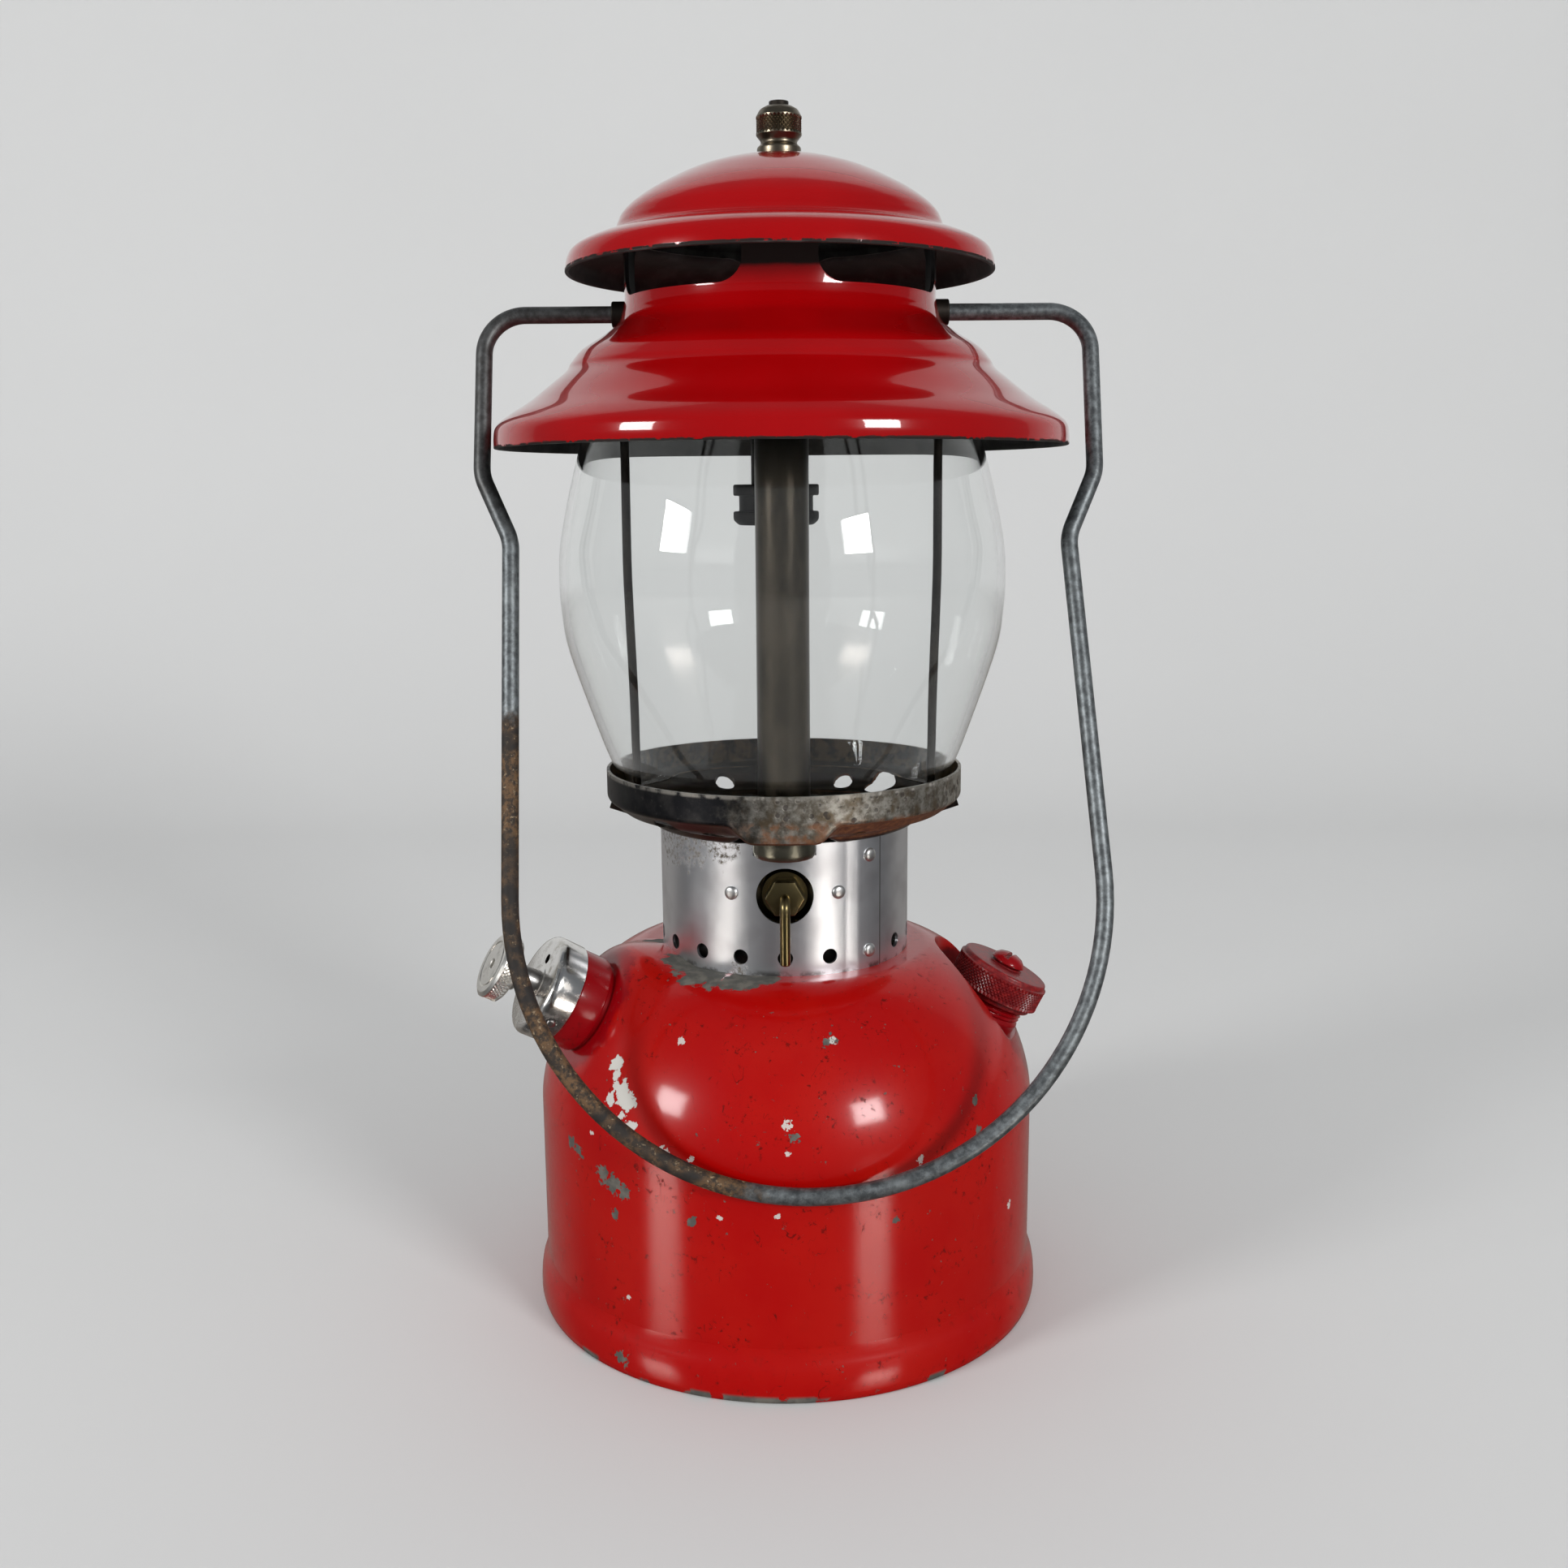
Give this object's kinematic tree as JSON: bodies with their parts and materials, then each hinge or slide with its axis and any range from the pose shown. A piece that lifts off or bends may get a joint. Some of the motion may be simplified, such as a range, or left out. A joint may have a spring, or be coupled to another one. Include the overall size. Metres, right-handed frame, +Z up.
{
  "type": "gasoline lantern",
  "caption": "Pressure lantern with a round fuel tank, hand pump, screw filler, vented collar, glass globe in a ring, hooded ventilator and a swinging wire bail.",
  "frame": {"origin": "middle of the tank's foot, on the surface the lantern stands on", "axes": "+Z up along the lantern's axis, -Y toward the tip cleaner, -X toward the pump, +X toward the filler"},
  "size_m": [0.161, 0.1486, 0.3175],
  "materials": {
    "tank_red": "worn red paint",
    "cap_red": "dark red paint over a knurl",
    "red_enamel": "glossy red enamel",
    "gasket": "matt",
    "brass": "plain",
    "old_brass": "dull olive",
    "nickel": "worn bright plating",
    "plain_steel": "plain",
    "leather": "oiled",
    "aluminium": "satin, knurled rim",
    "collar_metal": "brushed and polished, stained",
    "rivet_metal": "polished heads",
    "wheel_black": "moulded",
    "burnt_steel": "heat stained and pitted",
    "brown_steel": "heat browned",
    "tube_steel": "heat stained",
    "ferrule_metal": "dull plating",
    "burnt_iron": "sooty",
    "glass": "clear",
    "nut_metal": "aged plating, diamond knurl",
    "black_steel": "blackened",
    "bail_steel": "galvanised, rusty at one side"
  },
  "bodies": {
    "lantern": {"tank_shell": "tank_red", "tank_bottom": "tank_red", "filler_neck": "tank_red", "pump_barrel": "tank_red", "pump_check_valve": "brass", "pump_cap": "nickel", "pump_cap_pins": "nickel", "collar": "collar_metal", "collar_rivets": "rivet_metal", "valve_boss": "brass", "valve_body": "old_brass", "fuel_tube": "brass", "valve_packing_nut": "old_brass", "cleaner_nut": "old_brass", "generator_nut": "old_brass", "generator_tube": "old_brass", "gas_tip": "brass", "frame_pan": "burnt_steel", "frame_posts": "brown_steel", "top_bridge": "burnt_steel", "top_stud": "nut_metal", "air_tube": "tube_steel", "air_tube_ferrule": "ferrule_metal", "burner_manifold": "burnt_iron", "burner_tube": "burnt_iron", "burner_cap": "burnt_iron", "burner_screen": "plain_steel", "globe": "glass", "vent_hood": "red_enamel", "vent_cap": "red_enamel", "bail_ears": "black_steel"},
    "bail": {"bail": "bail_steel"},
    "ball_nut": {"ball_nut": "nut_metal"},
    "valve_wheel": {"valve_stem": "brass", "valve_wheel": "wheel_black", "wheel_screw": "plain_steel"},
    "cleaner_lever": {"cleaner_lever": "old_brass"},
    "cleaner_needle": {"cleaner_needle": "plain_steel"},
    "pump_air_stem": {"pump_air_stem": "brass"},
    "pump_plunger": {"pump_rod": "plain_steel", "pump_cup": "leather", "pump_cup_nut": "plain_steel", "pump_knob": "aluminium"},
    "filler_insert": {"filler_insert": "brass", "filler_gasket": "gasket"},
    "filler_cap": {"filler_cap": "cap_red", "filler_screw": "cap_red"}
  },
  "joints": [
    {"name": "bail_swing", "type": "hinge", "parent": "lantern", "child": "bail", "pos_m": [0, 0, 0.266], "axis": [-1, 0, 0], "range_deg": [0, 323]},
    {"name": "ball_nut_turn", "type": "hinge", "parent": "lantern", "child": "ball_nut", "pos_m": [0, 0, 0.3045], "axis": [0, 0, 1], "range_deg": [0, 1080]},
    {"name": "valve_turn", "type": "hinge", "parent": "lantern", "child": "valve_wheel", "pos_m": [0, 0.043, 0.1165], "axis": [0, 1, 0], "range_deg": [0, 450]},
    {"name": "cleaner_turn", "type": "hinge", "parent": "lantern", "child": "cleaner_lever", "pos_m": [0, -0.0365, 0.1194], "axis": [0, -1, 0], "range_deg": [-90, 90]},
    {"name": "cleaner_lift", "type": "slide", "parent": "lantern", "child": "cleaner_needle", "axis": [0, 0, 1], "range_m": [-0.0013, 0.0013]},
    {"name": "pump_turn", "type": "hinge", "parent": "lantern", "child": "pump_air_stem", "pos_m": [0, 0, 0.0542], "axis": [-0.803, -0.3244, 0.5], "range_deg": [0, 360]},
    {"name": "pump_stroke", "type": "slide", "parent": "pump_air_stem", "child": "pump_plunger", "axis": [-0.803, -0.3244, 0.5], "range_m": [0, 0.065]},
    {"name": "filler_lift", "type": "slide", "parent": "lantern", "child": "filler_insert", "axis": [0.454, 0, 0.891], "range_m": [0, 0.0049]},
    {"name": "filler_turn", "type": "hinge", "parent": "filler_insert", "child": "filler_cap", "pos_m": [0.0552, 0, 0.0782], "axis": [0.454, 0, 0.891], "range_deg": [0, 1080]}
  ],
  "couplings": [
    {"joint": "cleaner_lift", "follows": "cleaner_turn", "m_per_rad": 0.0008},
    {"joint": "filler_lift", "follows": "filler_turn", "m_per_rad": 0.00025465}
  ]
}
